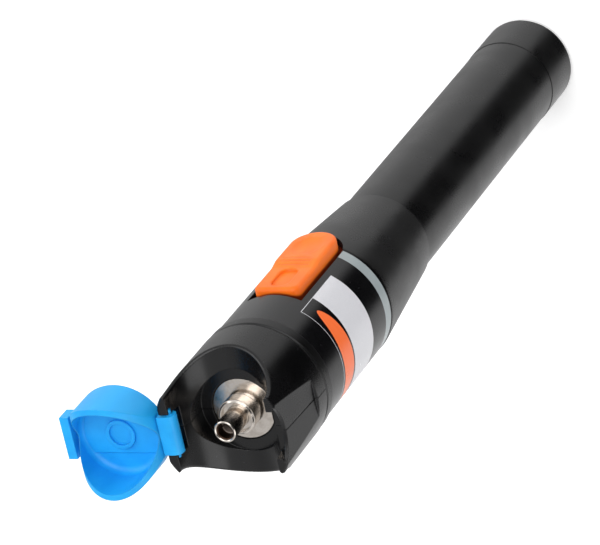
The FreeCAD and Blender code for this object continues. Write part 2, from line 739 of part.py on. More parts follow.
def is_slope_bend(edge):
    """The bends above and below the slope between the button's two levels."""
    box = edge.BoundBox
    return (box.YMax < 0.01 - d.knob_height.value and box.ZLength < 0.01
            and box.XLength > d.knob_width.value * 0.9 and box.ZMax < knob_front.value - 0.01)


def is_top_edge(edge):
    """The outline of the button's top, at both levels."""
    return (edge.BoundBox.YMax < 0.01 - d.knob_height.value
            and not (edge.BoundBox.ZLength < 0.01 and edge.BoundBox.ZMax < knob_front.value - 0.01))


def is_recess_rim(edge):
    """The upper outline of the oval recess."""
    box = edge.BoundBox
    return (abs(box.YMin + d.knob_height.value) < 0.01 and box.YLength < 0.01
            and max(abs(box.XMin), abs(box.XMax)) < d.recess_width.value / 2 + 0.01
            and box.ZMin > bump_end.value + d.bump_slope.value + 0.1
            and box.ZMax < knob_front.value - d.recess_margin.value + 0.01)


def thumb_dish(body, name):
    """A shallow oval dish pressed into the top of the knob."""
    dish = body.newObject("PartDesign::SubtractiveEllipsoid", name)
    plane = next(item for item in body.Origin.OriginFeatures if item.Role == "XY_Plane")
    dish.AttachmentSupport = [(plane, "")]
    dish.MapMode = "FlatFace"
    bind(dish, Radius1=d.dish_along, Radius2=d.dish_across, Radius3=d.dish_curve,
         AttachmentOffset__Base__y=-(d.bump_height + d.dish_curve - d.dish_depth),
         AttachmentOffset__Base__z=knob_rear + d.dish_middle)
    return dish


def make_slide_switch():
    """A board-mounted slide switch: hollow cover with a window, and its lever."""
    width, length = d.switch_width / 2, d.switch_length / 2
    mid, wall = d.knob_station, d.switch_wall
    travel = d.lever_length / 2 + d.knob_travel + d.window_gap * 2
    cover = block("switch_cover", (-width, -switch_top, mid - length), (width, -board_face, mid + length))
    room = block("switch_room", (-(d.lever_width + d.foot_gap * 4), -(switch_top - wall), mid - length + wall),
                 (d.lever_width + d.foot_gap * 4, -(board_face + wall), mid + length - wall))
    window = block("switch_window", (-(d.lever_width / 2 + d.window_gap), -(switch_top + OVER), mid - travel),
                   (d.lever_width / 2 + d.window_gap, -(switch_top - wall - d.window_gap), mid + travel))
    cut("slide_switch", cover, room, window)
    foot = block("lever_foot", (-d.lever_width, -(board_face + wall + d.foot_gap + d.foot_thickness), mid - d.lever_length),
                 (d.lever_width, -(board_face + wall + d.foot_gap), mid + d.lever_length))
    stem = block("lever_stem", (-d.lever_width / 2, -d.lever_reach, mid - d.lever_length / 2),
                 (d.lever_width / 2, -(board_face + wall + d.foot_gap + d.foot_thickness / 2), mid + d.lever_length / 2))
    fuse("switch_lever", foot, stem)


# ---------------------------------------------------------------- electronics

contact_top = cells_end + d.contact_thickness
holder_top = contact_top + d.holder_thickness


def make_battery_contact():
    """The holder seats the front cell and carries the positive contact."""
    stem = d.contact_diameter / 8
    turned("positive_contact", [
        (ZERO, cells_end), (d.contact_diameter / 2, cells_end),
        (d.contact_diameter / 2, contact_top), (stem, contact_top),
        (stem, holder_top + OVER), (ZERO, holder_top + OVER)])
    disc = turned("holder_disc", [
        (tail_bore, d.cavity_start), (tail_bore + d.holder_skirt, d.cavity_start),
        (tail_bore + d.holder_skirt, contact_top), (cavity - d.spigot_gap, contact_top),
        (cavity - d.spigot_gap, holder_top), (stem + d.fit_gap, holder_top),
        (stem + d.fit_gap, contact_top), (tail_bore, contact_top)])
    clear = block("holder_clear", (-d.tube_diameter, -d.tube_diameter, d.cavity_start - OVER),
                  (d.tube_diameter, -holder_flat, holder_top + OVER))
    cut("contact_holder", disc, clear)


# Parts on the board's rear face: name, left, right, height, and from the holder to both ends.
BOARD_PARTS = [
    ("driver_chip", -5.5, -0.5, 1.5, 6.0, 10.0),
    ("first_filter", -5.0, -3.0, 1.2, 14.0, 15.3),
    ("second_filter", -1.6, 0.4, 1.2, 14.0, 15.3),
    ("third_filter", 1.8, 3.8, 1.2, 14.0, 15.3),
]


def make_board():
    half = d.board_width / 2
    block("driver_board", (-half, -board_face, holder_top), (half, -d.board_offset, d.board_end))
    back = -d.board_offset
    chips = [block(name, (left, back, holder_top + low), (right, back + height, holder_top + high))
             for name, left, right, height, low, high in BOARD_PARTS]
    coil = cross_cylinder("coil", d.coil_diameter / 2, back, d.coil_height, d.coil_offset,
                          holder_top + d.coil_station)
    trimmer = block("trimmer", (-d.trimmer_offset, -(board_face + d.trimmer_height),
                                d.board_end - d.trimmer_rear),
                    (d.trimmer_size - d.trimmer_offset, -board_face,
                     d.board_end - d.trimmer_rear + d.trimmer_size))
    group("board_parts", *chips, coil, trimmer)


# ---------------------------------------------------------------- laser module

port = d.port_diameter / 2
flange_back = d.flange_face - d.flange_thickness
spigot_back = d.housing_end - d.spigot_depth


def make_connector():
    nose, spigot = d.nose_diameter / 2, d.spigot_diameter / 2
    bore = port + d.fit_gap
    body = turned("connector_turned", [
        (bore, spigot_back), (spigot, spigot_back), (spigot, flange_back),
        (d.flange_diameter / 2, flange_back), (d.flange_diameter / 2, d.flange_face - d.edge_break),
        (d.flange_diameter / 2 - d.edge_break, d.flange_face),
        (nose - d.relief_depth, d.flange_face),
        (nose - d.relief_depth, d.flange_face + d.relief_length),
        (nose, d.flange_face + d.relief_length + d.relief_depth),
        (nose, d.nose_end - d.relief_depth), (nose - d.relief_depth, d.nose_end),
        (d.nose_root / 2, d.nose_end), (d.nose_root / 2, d.nose_end - d.nose_recess),
        (bore, d.nose_end - d.nose_recess)])
    side = block("flange_side", (-d.flange_diameter, -d.flange_diameter, flange_back - OVER),
                 (-d.flange_flat, d.flange_diameter, d.flange_face))
    cut("connector_body", body, side)
    sleeve = d.ferrule_bore / 2 + d.sleeve_wall
    sleeve_end = d.port_end - d.tip_setback
    throat = d.ferrule_bore / 2 + d.throat_gap
    turned("connector_tube", [
        (sleeve + d.fit_gap, d.port_start), (port, d.port_start),
        (port, d.port_end - d.edge_break), (port - d.edge_break, d.port_end),
        (throat + d.throat_bevel, d.port_end), (throat, d.port_end - d.throat_bevel),
        (throat, sleeve_end),
        (sleeve + d.fit_gap, sleeve_end)])
    ring = turned("sleeve_ring", [
        (d.ferrule_bore / 2, d.sleeve_start), (sleeve, d.sleeve_start),
        (sleeve, sleeve_end - d.fit_gap), (d.ferrule_bore / 2, sleeve_end - d.fit_gap)])
    slit = block("sleeve_cut", (ZERO, -d.sleeve_slit / 2, d.sleeve_start - OVER),
                 (d.port_diameter, d.sleeve_slit / 2, sleeve_end + OVER))
    cut("ceramic_sleeve", ring, slit)


def make_laser():
    outer, collar = d.housing_diameter / 2, d.collar_diameter / 2
    base, lens = d.diode_base / 2 + d.fit_gap, d.lens_diameter / 2 + d.fit_gap
    can, front = d.diode_can / 2 + d.can_gap, d.spigot_diameter / 2 + d.fit_gap
    base_end = d.housing_start + d.diode_base_thickness
    lens_back = d.lens_station - d.lens_thickness / 2
    lens_front = d.lens_station + d.lens_thickness / 2
    turned("laser_housing", [
        (base, d.housing_start), (outer, d.housing_start), (outer, d.collar_start),
        (collar, d.collar_start), (collar, d.collar_start + d.collar_thickness),
        (outer, d.collar_start + d.collar_thickness), (outer, d.housing_end),
        (front, d.housing_end), (front, lens_front), (lens, lens_front), (lens, lens_back),
        (d.lens_view, lens_back), (d.lens_view, base_end + d.diode_can_length + d.can_gap),
        (can, base_end + d.diode_can_length + d.can_gap), (can, base_end), (base, base_end)])
    disc = cylinder("diode_disc", d.diode_base / 2, d.housing_start, d.diode_base_thickness)
    shell = cylinder("diode_shell", d.diode_can / 2, base_end - d.fit_gap, d.diode_can_length + d.fit_gap)
    pins = []
    for i in range(3):
        turn = math.radians(90 + 120 * i)
        pins.append(cylinder(f"diode_pin_{i}", d.pin_diameter / 2, d.housing_start - d.pin_length,
                             d.pin_length + d.fit_gap, d.pin_circle / 2 * math.cos(turn),
                             d.pin_circle / 2 * math.sin(turn)))
    fuse("laser_diode", disc, shell, *pins)
    edge = cylinder("lens_edge", d.lens_diameter / 2, lens_back, d.lens_thickness)
    ball = doc.addObject("Part::Sphere", "lens_curve")
    bind(ball, Radius=d.lens_curve)
    place(ball, z=d.lens_station)
    common("focus_lens", edge, ball)


# ---------------------------------------------------------------- head

head = d.head_diameter / 2
lug_root = root(d.cap_diameter * d.cap_diameter - d.knuckle_width * d.knuckle_width) / 2
lug_reach = d.hinge_offset - lug_root
lug_sweep = root(lug_reach * lug_reach + d.knuckle_diameter * d.knuckle_diameter / 4)
knuckle = d.knuckle_diameter / 2
trunnion = d.trunnion_diameter / 2


def make_head():
    """Two moulded shells, parted through both prongs, round the connector."""
    spigot = cavity - d.spigot_gap
    spigot_start = d.barrel_end - d.spigot_length
    housing = d.housing_diameter / 2 + d.fit_gap
    collar = d.collar_diameter / 2 + d.fit_gap
    collar_end = d.collar_start + d.collar_thickness + d.fit_gap
    seat = d.spigot_diameter / 2 + d.fit_gap * 3
    flange = d.flange_diameter / 2 + d.fit_gap
    shoulder = d.shoulder_diameter / 2
    body = turned("head_blank", [
        (housing, spigot_start), (spigot - d.rim_bevel, spigot_start),
        (spigot, spigot_start + d.rim_bevel), (spigot, d.barrel_end),
        (shoulder, d.barrel_end), (shoulder, d.head_start), (head - d.rim_bevel, d.head_start),
        (head, d.head_start + d.rim_bevel), (head, d.head_end - d.rim_bevel),
        (head - d.rim_bevel, d.head_end), (flange, d.head_end),
        (flange, flange_back - d.fit_gap), (seat, flange_back - d.fit_gap),
        (seat, d.housing_end + d.fit_gap), (housing, d.housing_end + d.fit_gap),
        (housing, collar_end), (collar, collar_end), (collar, d.collar_start - d.fit_gap),
        (housing, d.collar_start - d.fit_gap)])
    for side, name in ((1, "flat_at_hinge"), (-1, "flat_at_latch")):
        pocket_through(body, name, "XZ_Plane", draw_polygon, [[
            (side * d.flat_near, d.flat_start), (side * d.flat_far, d.head_end + OVER),
            (side * (head + OVER), d.head_end + OVER),
            (side * (head + OVER), d.flat_start - d.flat_runout)]])
    pocket_through(body, "scoop", "XZ_Plane", draw_circle, [d.scoop_diameter / 2, ZERO, d.head_end])
    round_edges(body, "scoop_rim", d.scoop_round, is_scoop_rim)
    pocket = cylinder("round_pocket", d.pocket_diameter / 2, d.pocket_floor, d.head_diameter)
    tools = [pocket, *hinge_cuts(), *latch_cuts(), board_cut(), *screw_cuts()]
    whole = cut("head", body, *tools)
    gap = d.parting_gap / 2
    far = d.head_diameter
    upper = block("upper_side", (-far, -far, ZERO), (far, -gap, d.head_end + OVER))
    lower = block("lower_side", (-far, gap, ZERO), (far, far, d.head_end + OVER))
    common("head_shell_upper", whole, upper)
    common("head_shell_lower", whole, lower)


def is_scoop_rim(edge):
    """Where the scoop leaves the outside of the head."""
    points = edge.discretize(5)
    return all(abs(math.hypot(point.x, point.z - d.head_end.value) - d.scoop_diameter.value / 2) < 0.01
               and math.hypot(point.x, point.y) > head.value - 0.01 for point in points)


def hinge_cuts():
    half = d.knuckle_width / 2 + d.hinge_gap
    floor = d.hinge_station - lug_sweep - d.hinge_gap / 2
    slot = block("hinge_slot", (lug_root - d.hinge_gap * 2, -half, floor),
                 (head + OVER, half, d.head_end + OVER))
    reach = d.knuckle_width / 2 + d.trunnion_length + d.hinge_gap
    socket = cross_cylinder("trunnion_socket", trunnion + d.hinge_gap / 3, -reach, 2 * reach,
                            d.hinge_offset, d.hinge_station)
    return slot, socket


def latch_cuts():
    half = d.notch_width / 2
    notch = block("latch_notch", (-d.notch_depth, -half, d.notch_floor),
                  (-d.pocket_diameter / 2 + OVER / 2, half, d.head_end + OVER))
    above = cylinder("above_lip", d.lip_radius, ZERO, head + OVER - d.notch_depth + d.fit_gap)
    above.Placement.Rotation = FreeCAD.Rotation(FreeCAD.Vector(0, 1, 0), 90)
    place(above, x=-(head + OVER), z=d.lip_height + d.lip_radius)
    return notch, above


def board_cut():
    half = d.board_width / 2 + d.fit_gap
    return block("board_slot", (-half, -(board_face + d.fit_gap), d.barrel_end - d.spigot_length - OVER),
                 (half, -(d.board_offset - d.fit_gap), d.board_end + d.fit_gap))


def screw_cuts():
    cuts = []
    for side, name in ((1, "right"), (-1, "left")):
        x = side * d.screw_offset
        cuts.append(cross_cylinder(f"{name}_screw_hole", d.screw_diameter / 2 + d.fit_gap,
                                   -(d.screw_grip + d.fit_gap), d.head_diameter, x, d.screw_station))
        cuts.append(cross_cylinder(f"{name}_head_hole", d.screw_head / 2 + d.fit_gap * 3,
                                   d.screw_seat, d.head_diameter, x, d.screw_station))
    return cuts


def make_shell_screws():
    spans = ((d.recess_reach, d.recess_slot), (d.recess_slot, d.recess_reach))
    solids = []
    for side, name in ((1, "right"), (-1, "left")):
        x = side * d.screw_offset
        shank = cross_cylinder(f"{name}_shank", d.screw_diameter / 2, -d.screw_grip,
                               d.screw_grip + d.screw_seat + d.fit_gap, x, d.screw_station)
        crown = cross_cylinder(f"{name}_crown", d.screw_head / 2, d.screw_seat, d.screw_crown,
                               x, d.screw_station)
        cross = [block(f"{name}_recess_{i}", (x - wide, d.screw_seat + d.recess_floor, d.screw_station - tall),
                       (x + wide, d.screw_seat + d.screw_crown + OVER, d.screw_station + tall))
                 for i, (wide, tall) in enumerate(spans)]
        solids.append(cut(f"{name}_screw", fuse(f"{name}_blank", shank, crown), *cross))
    group("shell_screws", *solids)


# ---------------------------------------------------------------- dust cap

def make_dust_cap():
    """Modelled closed, then swung open about the hinge by its Placement."""
    cup = d.cap_diameter / 2
    inner = cup - d.cap_wall
    rim = d.head_end - d.cap_rim
    floor = d.head_end - d.cap_floor
    low = rim - d.tongue_diameter
    outside = cylinder("cup_outside", cup, low, d.head_end - low)
    plate = block("cup_plate", (-cup - OVER, -cup - OVER, rim), (cup + OVER, cup + OVER, d.head_end))
    tongue = cross_cylinder("cup_tongues", d.tongue_diameter / 2, -cup - OVER, 2 * (cup + OVER), ZERO, rim)
    wall = common("cup_wall", outside, fuse("cup_side", plate, tongue))
    core = turned("cup_core", [(ZERO, low - OVER), (inner, low - OVER), (inner, floor), (ZERO, floor)])
    round_edges(core, "core_corner", d.cap_corner, lambda edge: edge.BoundBox.ZMin > floor.value - 0.01
                and edge.Length > 1.0)
    hollow = cut("cup", wall, core)
    ring = d.ring_diameter / 2
    boss = cut("ring_boss",
               cylinder("ring_outside", ring, floor - d.ring_height, d.ring_height + d.cap_floor / 2),
               cylinder("ring_inside", ring - d.ring_wall, floor - d.ring_height - OVER,
                        d.ring_height + OVER - d.band_height))
    band = common("band",
                  block("band_block", (-inner, -d.band_width / 2, floor - d.band_height),
                        (inner, d.band_width / 2, floor + d.cap_floor / 2)),
                  cylinder("band_round", inner - d.cap_corner / 2, floor - OVER, 2 * OVER))
    lug = block("hinge_lug", (lug_root, -d.knuckle_width / 2, d.hinge_station - knuckle),
                (d.hinge_offset, d.knuckle_width / 2, d.head_end))
    barrel = cross_cylinder("hinge_knuckle", knuckle, -d.knuckle_width / 2, d.knuckle_width,
                            d.hinge_offset, d.hinge_station)
    reach = d.knuckle_width / 2 + d.trunnion_length
    pins = cross_cylinder("trunnions", trunnion, -reach, 2 * reach, d.hinge_offset, d.hinge_station)
    half = d.latch_width / 2
    latch_out = d.notch_depth - d.latch_gap
    tab = block("latch_tab", (-latch_out, -half, d.head_end - d.latch_length),
                (-(latch_out - d.latch_thickness), half, d.head_end))
    neck_start = root(d.cap_diameter * d.cap_diameter - d.latch_width * d.latch_width) / 2
    neck = block("latch_neck", (-latch_out, -half, rim), (-neck_start, half, d.head_end))
    cap = fuse("dust_cap", hollow, boss, band, lug, barrel, pins, tab, neck)
    turn, x, z = d.cap_angle, d.hinge_offset, d.hinge_station
    cap.Placement.Rotation = FreeCAD.Rotation(FreeCAD.Vector(0, 1, 0), turn.value)
    bind(cap, Placement__Rotation__Angle=turn,
         Placement__Base__x=x - x * cosine(turn) - z * sine(turn),
         Placement__Base__z=z + x * sine(turn) - z * cosine(turn))


# ---------------------------------------------------------------- all pieces

PARTS = [
    "tail_cap", "tail_seal", "tail_contact", "tail_spring", "battery_tube", "rear_cell",
    "front_cell", "front_barrel", "label_wrap", "switch_knob", "slide_switch", "switch_lever",
    "positive_contact", "contact_holder", "driver_board", "board_parts", "connector_body",
    "connector_tube", "ceramic_sleeve", "laser_housing", "laser_diode", "focus_lens",
    "head_shell_upper", "head_shell_lower", "shell_screws", "dust_cap",
]


def build_all():
    make_tail_cap()
    make_tail_seal()
    make_tail_washer()
    make_tail_spring()
    make_battery_tube()
    make_cell("rear_cell", d.cell_start)
    make_cell("front_cell", d.cell_start + d.cell_length)
    make_front_barrel()
    make_label()
    make_switch_knob()
    make_slide_switch()
    make_battery_contact()
    make_board()
    make_connector()
    make_laser()
    make_head()
    make_shell_screws()
    make_dust_cap()
    doc.recompute()


def check_and_write():
    for thing in doc.Objects:
        if "Invalid" in thing.State or "Error" in thing.State:
            raise RuntimeError(f"{thing.Name} failed to rebuild: {thing.State}")
    os.makedirs("parts", exist_ok=True)
    for name in PARTS:
        piece = doc.getObject(name)
        piece.Label = name
        if piece.Shape.isNull() or not piece.Shape.isValid():
            raise RuntimeError(f"{name} is not a sound solid")
        piece.Shape.exportStep(f"parts/{name}.step")
        print(f"{name}: {len(piece.Shape.Solids)} solid(s), {piece.Shape.Volume:.1f} cubic mm")


build_all()
check_and_write()
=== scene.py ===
import logging
import math
from dataclasses import dataclass
from enum import Enum
from typing import Any

import bmesh
import bpy
from mathutils import Matrix, Vector


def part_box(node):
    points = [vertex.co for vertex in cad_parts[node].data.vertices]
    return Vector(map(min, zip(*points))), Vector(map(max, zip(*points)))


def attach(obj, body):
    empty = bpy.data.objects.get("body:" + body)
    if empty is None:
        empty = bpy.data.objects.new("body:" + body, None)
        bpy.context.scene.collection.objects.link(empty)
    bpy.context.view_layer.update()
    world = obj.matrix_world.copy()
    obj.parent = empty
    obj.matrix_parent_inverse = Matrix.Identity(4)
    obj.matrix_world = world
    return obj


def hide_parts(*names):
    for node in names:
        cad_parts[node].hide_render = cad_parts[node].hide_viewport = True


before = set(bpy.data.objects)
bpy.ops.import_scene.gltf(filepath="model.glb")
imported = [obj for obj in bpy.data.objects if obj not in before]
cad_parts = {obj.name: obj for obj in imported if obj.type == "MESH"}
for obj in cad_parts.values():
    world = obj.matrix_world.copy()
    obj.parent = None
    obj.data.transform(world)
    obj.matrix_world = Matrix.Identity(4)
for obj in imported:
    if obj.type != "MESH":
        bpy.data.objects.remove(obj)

# A finish's lengths are in millimetres, the studio's are in metres, and angles are in degrees.
LOG = logging.getLogger("fault_locator")
MM = 0.001
WELD = 1e-6  # metres within which a mesh's corners count as one
Colour = tuple[float, float, float]
Span = tuple[float, float]
Value = Any


def corners(node: str) -> tuple[Vector, Vector]:
    """The lowest and the highest corner of a CAD node, in millimetres."""
    low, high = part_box(node)
    return low / MM, high / MM


# ---------------------------------------------------------------- shader kit

class Wire:
    """A node's output on which arithmetic adds Math nodes."""

    def __init__(self, graph: "Graph", socket: bpy.types.NodeSocket) -> None:
        """Hold the graph and the socket that the wire comes from."""
        self.graph = graph
        self.socket = socket

    def math(self, operation: str, *values: Value) -> "Wire":
        """Add a Math node.

        Args:
            operation: The Math node's operation.
            values: Its inputs in order, numbers or wires.

        Returns:
            The wire of the result.
        """
        return self.graph.add("ShaderNodeMath", {"operation": operation},
                              dict(enumerate(values)))

    def __add__(self, other: Value) -> "Wire":
        """Sum."""
        return self.math("ADD", self, other)

    def __radd__(self, other: Value) -> "Wire":
        """Sum with a number on the left."""
        return self.math("ADD", other, self)

    def __sub__(self, other: Value) -> "Wire":
        """Difference."""
        return self.math("SUBTRACT", self, other)

    def __rsub__(self, other: Value) -> "Wire":
        """Difference from a number."""
        return self.math("SUBTRACT", other, self)

    def __mul__(self, other: Value) -> "Wire":
        """Product."""
        return self.math("MULTIPLY", self, other)

    def __rmul__(self, other: Value) -> "Wire":
        """Product with a number on the left."""
        return self.math("MULTIPLY", other, self)

    def __truediv__(self, other: Value) -> "Wire":
        """Quotient."""
        return self.math("DIVIDE", self, other)

    def __rtruediv__(self, other: Value) -> "Wire":
        """Quotient of a number by this."""
        return self.math("DIVIDE", other, self)

    def __abs__(self) -> "Wire":
        """Absolute value."""
        return self.math("ABSOLUTE", self)

    def power(self, exponent: float) -> "Wire":
        """Raised to a power."""
        return self.math("POWER", self, exponent)

    def either(self, other: Value) -> "Wire":
        """The larger of two masks."""
        return self.math("MAXIMUM", self, other)

    def both(self, other: Value) -> "Wire":
        """The smaller of two masks."""
        return self.math("MINIMUM", self, other)

    def ramp(self, low: float, high: float, bottom: float = 0.0, top: float = 1.0) -> "Wire":
        """A clamped smooth step between two values of this wire.

        Args:
            low: The value that gives bottom.
            high: The value that gives top.
            bottom: The result at low.
            top: The result at high.

        Returns:
            The wire of the result.
        """
        return self.graph.add("ShaderNodeMapRange", {"interpolation_type": "SMOOTHSTEP"},
                              {0: self, 1: low, 2: high, 3: bottom, 4: top})

    def inside(self, low: float, high: float, soft: float) -> "Wire":
        """A mask that is 1 between two values, with soft edges."""
        return self.ramp(low - soft, low + soft).both(self.ramp(high - soft, high + soft, 1.0, 0.0))


class Graph:
    """The node tree of one material or of the sky."""

    def __init__(self, owner: bpy.types.Material | bpy.types.World) -> None:
        """Empty the owner's node tree."""
        self.owner = owner
        owner.use_nodes = True
        self.tree = owner.node_tree
        self.tree.nodes.clear()

    @classmethod
    def finish(cls, name: str) -> "Graph":
        """The empty graph of a new material."""
        return cls(bpy.data.materials.new(name + "_finish"))

    def add(self, kind: str, settings: dict[str, Value] | None = None,
            inputs: dict[Value, Value] | None = None, output: Value = 0) -> Wire | None:
        """Add a node.

        Args:
            kind: The node's type.
            settings: Its properties, set before its inputs.
            inputs: Numbers, colours or wires by the input's name or number.
            output: The name or number of the output that is wanted, if any.

        Returns:
            The wire of that output.
        """
        node = self.tree.nodes.new(kind)
        for key, value in (settings or {}).items():
            setattr(node, key, value)
        for key, value in (inputs or {}).items():
            if isinstance(value, Wire):
                self.tree.links.new(value.socket, node.inputs[key])
            elif isinstance(value, tuple) and node.inputs[key].type == "RGBA":
                node.inputs[key].default_value = (*value, 1.0)
            else:
                node.inputs[key].default_value = value
        return None if output is None else Wire(self, node.outputs[output])

    def place(self, scale: Value = 1.0) -> Wire:
        """The point on the object in the row frame, in millimetres times scale."""
        point = self.add("ShaderNodeTexCoord", output="Object")
        factor = scale if isinstance(scale, tuple) else (scale, scale, scale)
        size = tuple(part / MM for part in factor)
        return self.add("ShaderNodeVectorMath", {"operation": "MULTIPLY"}, {0: point, 1: size})

    def axes(self, point: Wire) -> tuple[Wire, Wire, Wire]:
        """The three parts of a point."""
        split = [self.add("ShaderNodeSeparateXYZ", None, {0: point}, part) for part in (0, 1, 2)]
        return split[0], split[1], split[2]

    def noise(self, scale: Value, detail: float = 3.0, rough: float = 0.5) -> Wire:
        """Noise whose grains are about 1 / scale millimetres."""
        return self.add("ShaderNodeTexNoise", {"noise_dimensions": "3D"},
                        {"Vector": self.place(scale), "Scale": 1.0, "Detail": detail,
                         "Roughness": rough}, "Fac")

    def mix(self, factor: Value, first: Value, second: Value) -> Wire:
        """Blend two colours."""
        return self.add("ShaderNodeMix", {"data_type": "RGBA"},
                        {0: factor, 6: first, 7: second}, 2)

    def bump(self, height: Wire, depth: float, normal: Wire | None = None) -> Wire:
        """A bumped normal.

        Args:
            height: The height's wire, from 0 to 1.
            depth: The depth in millimetres of a height of 1.
            normal: The normal beneath, if it isn't the surface's own.

        Returns:
            The wire of the normal.
        """
        inputs = {"Strength": 1.0, "Distance": depth * MM, "Height": height}
        if normal is not None:
            inputs["Normal"] = normal
        return self.add("ShaderNodeBump", None, inputs)

    def soft_edges(self, radius: float) -> Wire:
        """The normal of a surface whose edges are rounded a little."""
        return self.add("ShaderNodeBevel", {"samples": 6}, {"Radius": radius * MM})

    def surface(self, **inputs: Value) -> bpy.types.Material:
        """Finish the material with a Principled surface.

        Args:
            inputs: Its inputs, with underscores for the spaces in their names.

        Returns:
            The material.
        """
        named = {key.replace("_", " "): value for key, value in inputs.items()}
        shader = self.add("ShaderNodeBsdfPrincipled", None, named)
        self.add("ShaderNodeOutputMaterial", None, {"Surface": shader}, None)
        return self.owner


# ---------------------------------------------------------------- finishes

@dataclass(frozen=True)
class BlackCoat:
    """Satin black coat on turned or moulded metal."""

    name: str
    colour: Colour = (0.0022, 0.0022, 0.0026)
    roughness: float = 0.29
    grain: float = 0.004
    edge: float = 0.12
    cloudy: float = 1.35
    scratched: Colour = (0.05, 0.05, 0.055)
    specked: Colour = (0.10, 0.10, 0.11)

    def material(self) -> bpy.types.Material:
        """Coat with a fine grain, cloudy gloss, faint scratches and a few specks."""
        graph = Graph.finish(self.name)
        cloud = graph.noise(0.12, 4.0)
        grain = graph.noise(5.0, 2.0, 0.6)
        scratch = graph.noise((1.6, 1.6, 0.05), 6.0, 0.7).ramp(0.66, 0.74)
        speck = graph.noise(1.15, 1.0).ramp(0.78, 0.81)
        light = tuple(part * self.cloudy for part in self.colour)
        tone = graph.mix(cloud.ramp(0.3, 0.7), self.colour, light)
        tone = graph.mix(scratch * 0.25, tone, self.scratched)
        tone = graph.mix(speck * 0.5, tone, self.specked)
        gloss = self.roughness + cloud.ramp(0.3, 0.7, -0.03, 0.05)
        gloss = gloss + (grain - 0.5) * 0.10 - scratch * 0.05
        normal = graph.bump(grain, self.grain, graph.soft_edges(self.edge))
        return graph.surface(Base_Color=tone, Roughness=gloss, Normal=normal,
                             Specular_IOR_Level=0.42)


@dataclass(frozen=True)
class Moulded:
    """Injection-moulded plastic."""

    name: str
    colour: Colour
    deep: Colour
    roughness: float = 0.38
    grain: float = 0.006
    edge: float = 0.2
    scatter: float = 0.0

    def material(self) -> bpy.types.Material:
        """Plastic with soft flow marks, a spark-eroded grain and rounded edges."""
        graph = Graph.finish(self.name)
        flow = graph.noise((0.25, 0.25, 0.08), 3.0)
        grain = graph.noise(6.5, 3.0, 0.6)
        mark = graph.noise(0.9, 5.0, 0.65).ramp(0.66, 0.72)
        tone = graph.mix(flow.ramp(0.25, 0.75), self.deep, self.colour)
        gloss = self.roughness + (grain - 0.5) * 0.12 + mark * 0.06
        normal = graph.bump(grain, self.grain, graph.soft_edges(self.edge))
        tone, normal = self.marked(graph, tone, normal)
        return graph.surface(Base_Color=tone, Roughness=gloss, Normal=normal,
                             Subsurface_Weight=self.scatter, Subsurface_Scale=0.0012,
                             Subsurface_Radius=(1.0, 0.6, 0.4), Specular_IOR_Level=0.3)

    def marked(self, graph: Graph, tone: Wire, normal: Wire) -> tuple[Wire, Wire]:
        """The colour and the normal with the piece's own marks, which plain plastic lacks."""
        return tone, normal


@dataclass(frozen=True)
class KnobPlastic(Moulded):
    """Plastic of the slide knob: three grooves across its top, with painted shade in them and inside the
    slot.
    """

    grooves: tuple[float, ...] = (-0.25, 0.80, 1.95)  # above the knob's middle
    groove_reach: float = 3.1  # to each side
    groove_width: float = 0.20
    groove_depth: float = 0.12
    top: Span = (0.85, 0.65)  # below the knob's crest, where the grooves fade in
    sunk: Span = (12.0, 12.6)  # radii between which the shade fades out
    # colour of the painted shade on the knob's sides inside the slot
    shade: Colour = (0.16, 0.018, 0.003)

    def marked(self, graph: Graph, tone: Wire, normal: Wire) -> tuple[Wire, Wire]:
        """Grooves counted from the knob's middle, each with painted shade, and painted shade below the
        barrel's surface.

        Args:
            graph: The material's graph.
            tone: The colour beneath.
            normal: The normal beneath.

        Returns:
            The colour and the normal with the grooves.
        """
        low, high = corners("switch_knob")
        middle = (low.z + high.z) / 2
        half = self.groove_width / 2
        x, y, z = graph.axes(graph.place())
        on_top = (y * -1.0).ramp(*(-low.y - drop for drop in self.top))
        on_top = on_top.both(abs(x).ramp(self.groove_reach - 0.2, self.groove_reach, 1.0, 0.0))
        for offset in self.grooves:
            station = middle + offset
            cut = z.inside(station - half, station + half, half).both(on_top)
            normal = graph.bump(1.0 - cut, self.groove_depth, normal)
            # Painted shade: each groove is darkened halfway to the deeper plastic tone.
            tone = graph.mix(cut * 0.5, tone, self.deep)
        # Painted shade: below the barrel's surface the knob fades to the dark shade colour.
        painted_slot_shade = (x * x + y * y).power(0.5).ramp(*self.sunk, 1.0, 0.0)
        return graph.mix(painted_slot_shade, tone, self.shade), normal


@dataclass(frozen=True)
class TurnedMetal:
    """Bare or plated metal from a lathe."""

    name: str
    colour: Colour
    dark: Colour
    roughness: float = 0.2
    pitch: float = 14.0

    def material(self) -> bpy.types.Material:
        """Metal with fine turning rings, a little haze and rounded edges."""
        graph = Graph.finish(self.name)
        haze = graph.noise(0.8, 4.0)
        rings = graph.noise((0.05, 0.05, self.pitch), 3.0, 0.7)
        tone = graph.mix(haze.ramp(0.35, 0.7), self.dark, self.colour)
        gloss = self.roughness + haze.ramp(0.3, 0.8, -0.04, 0.10)
        normal = graph.bump(rings, 0.004, graph.soft_edges(0.06))
        return graph.surface(Base_Color=tone, Roughness=gloss, Metallic=1.0, Normal=normal)


